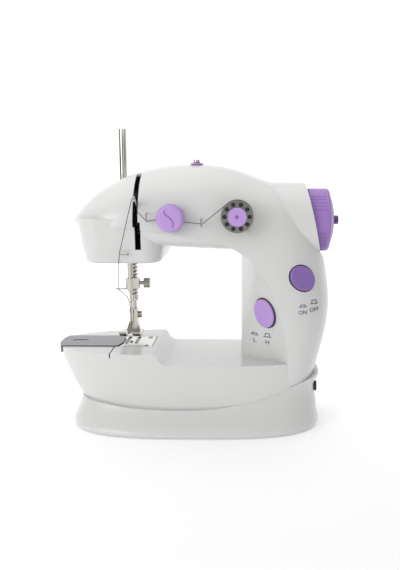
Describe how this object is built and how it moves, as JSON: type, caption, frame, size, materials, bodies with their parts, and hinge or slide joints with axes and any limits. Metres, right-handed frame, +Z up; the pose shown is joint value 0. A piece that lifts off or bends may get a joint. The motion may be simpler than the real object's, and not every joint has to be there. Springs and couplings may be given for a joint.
{
  "type": "mini sewing machine",
  "caption": "Small portable sewing machine: rounded C-shaped white body on an oval base, side handwheel, needle and presser foot over a narrow deck, front bobbin and tension dial",
  "frame": {"origin": "centre of the bounding box footprint, at table level under the rubber feet", "axes": "+X towards the handwheel, +Y to the back of the machine, +Z up"},
  "size_m": [0.1941, 0.095, 0.203],
  "materials": {
    "white_housing": "fine satin gloss",
    "white_cover": "fine satin gloss",
    "purple_dark": "satin",
    "purple_wheel": "satin",
    "purple_light": "satin",
    "purple_spindle": "satin",
    "smoky_plate": "smoky, glossy",
    "chrome": "polished",
    "nickel_steel": "fine turned",
    "frame_metal": "die cast",
    "bush_brass": "turned",
    "black_plastic": "matte",
    "black_rubber": "matte",
    "board_green": "solder mask",
    "lamp_lens": "clear",
    "thread": "spun",
    "base_white": "fine satin"
  },
  "bodies": {
    "machine": {"front_housing": "white_housing", "rear_housing": "white_housing", "nose_cover": "white_cover", "base_skirt": "base_white", "base_plate": "base_white", "rubber_feet": "black_rubber", "base_screws": "nickel_steel", "sockets": "black_plastic", "circuit_board": "board_green", "needle_plate": "chrome", "wheel_guard": "white_cover", "head_frame": "frame_metal", "bushes": "bush_brass", "lower_frame": "frame_metal", "bobbin_case": "black_plastic", "timing_belt": "black_rubber", "motor_belt": "black_rubber", "motor_case": "nickel_steel", "motor_mount": "frame_metal", "tension_post": "chrome", "bobbin_spindle": "purple_light", "arm_guides": "chrome", "nose_guide": "chrome", "thread_cutter": "purple_light", "lamp": "lamp_lens", "winding_stud": "chrome", "winding_dish": "purple_light", "supply_thread": "thread"},
    "main_drive": {"handwheel": "purple_wheel", "winder_spindle": "purple_spindle", "main_shaft": "nickel_steel", "crank_disc": "frame_metal", "upper_pulleys": "black_plastic"},
    "lower_drive": {"lower_shaft": "nickel_steel"},
    "hook": {"rotary_hook": "nickel_steel"},
    "case_bobbin": {"lower_bobbin": "nickel_steel"},
    "motor_drive": {"motor_rotor": "nickel_steel"},
    "needle_group": {"needle_bar": "chrome", "needle_yoke": "frame_metal", "needle_clamp": "chrome", "clamp_screw": "nickel_steel", "needle": "chrome", "clamp_thread": "thread", "needle_thread": "thread"},
    "take_up": {"take_up_lever": "chrome", "take_up_thread": "thread"},
    "presser_group": {"presser_bar": "chrome", "presser_foot": "chrome", "foot_screw": "nickel_steel", "presser_spring": "nickel_steel"},
    "lifter": {"presser_lifter": "chrome"},
    "feed": {"feed_dog": "nickel_steel"},
    "dial": {"tension_dial": "purple_light"},
    "top_bobbin": {"front_bobbin": "nickel_steel", "wound_thread": "thread"},
    "power_key": {"power_button": "purple_dark"},
    "speed_key": {"speed_button": "purple_light"},
    "rod": {"spool_rod": "chrome"},
    "cover_slide": {"slide_plate": "smoky_plate"},
    "door": {"battery_door": "base_white"}
  },
  "joints": [
    {"name": "main_shaft_spin", "type": "hinge", "parent": "machine", "child": "main_drive", "pos_m": [0.06, 0, 0.1413], "axis": [1, 0, 0], "continuous": true},
    {"name": "lower_shaft_spin", "type": "hinge", "parent": "machine", "child": "lower_drive", "pos_m": [0, 0, 0.027], "axis": [1, 0, 0], "continuous": true},
    {"name": "hook_spin", "type": "hinge", "parent": "machine", "child": "hook", "pos_m": [-0.068, 0, 0.025], "axis": [0, 0, 1], "continuous": true},
    {"name": "case_bobbin_spin", "type": "hinge", "parent": "machine", "child": "case_bobbin", "pos_m": [-0.068, 0, 0.042], "axis": [0, 0, 1], "continuous": true},
    {"name": "motor_spin", "type": "hinge", "parent": "machine", "child": "motor_drive", "pos_m": [0.062, 0, 0.088], "axis": [1, 0, 0], "continuous": true},
    {"name": "needle_stroke", "type": "slide", "parent": "machine", "child": "needle_group", "axis": [0, 0, 1], "range_m": [-0.025, 0], "deforming": ["clamp_thread"]},
    {"name": "take_up_swing", "type": "hinge", "parent": "machine", "child": "take_up", "pos_m": [-0.0366, -0.02, 0.147], "axis": [1, 0, 0], "range_deg": [0, 55.1], "deforming": ["take_up_thread"]},
    {"name": "lifter_turn", "type": "hinge", "parent": "machine", "child": "lifter", "pos_m": [-0.0464, 0.03, 0.129], "axis": [0, 1, 0], "range_deg": [0, 75]},
    {"name": "presser_travel", "type": "slide", "parent": "machine", "child": "presser_group", "axis": [0, 0, 1], "range_m": [-0.0042, 0], "deforming": ["presser_spring"]},
    {"name": "feed_travel", "type": "slide", "parent": "machine", "child": "feed", "axis": [0, 1, 0], "range_m": [-0.002, 0.002]},
    {"name": "tension_turn", "type": "hinge", "parent": "machine", "child": "dial", "pos_m": [-0.0137, -0.042, 0.1458], "axis": [0, -1, 0], "range_deg": [-150, 150]},
    {"name": "top_bobbin_spin", "type": "hinge", "parent": "machine", "child": "top_bobbin", "pos_m": [0.0285, -0.04, 0.147], "axis": [0, -1, 0], "continuous": true},
    {"name": "power_press", "type": "slide", "parent": "machine", "child": "power_key", "axis": [-0.431, 0.896, -0.107], "range_m": [0, 0.002], "stiffness_N_per_m": 300},
    {"name": "speed_press", "type": "slide", "parent": "machine", "child": "speed_key", "axis": [0.7012, 0.6882, 0.1861], "range_m": [0, 0.002], "stiffness_N_per_m": 300},
    {"name": "rod_travel", "type": "slide", "parent": "machine", "child": "rod", "axis": [0, 0, 1], "range_m": [-0.022, 0]},
    {"name": "cover_travel", "type": "slide", "parent": "machine", "child": "cover_slide", "axis": [-1, 0, 0], "range_m": [0, 0.04]},
    {"name": "door_release", "type": "slide", "parent": "machine", "child": "door", "axis": [0, 0, -1], "range_m": [0, 0.03]}
  ],
  "couplings": [
    {"joint": "lower_shaft_spin", "follows": "main_shaft_spin", "ratio": 1},
    {"joint": "hook_spin", "follows": "main_shaft_spin", "ratio": -0.5},
    {"joint": "motor_spin", "follows": "main_shaft_spin", "ratio": 4},
    {"joint": "take_up_swing", "follows": "needle_stroke", "rad_per_m": -38.4},
    {"joint": "lifter_turn", "follows": "presser_travel", "rad_per_m": -311.6}
  ]
}
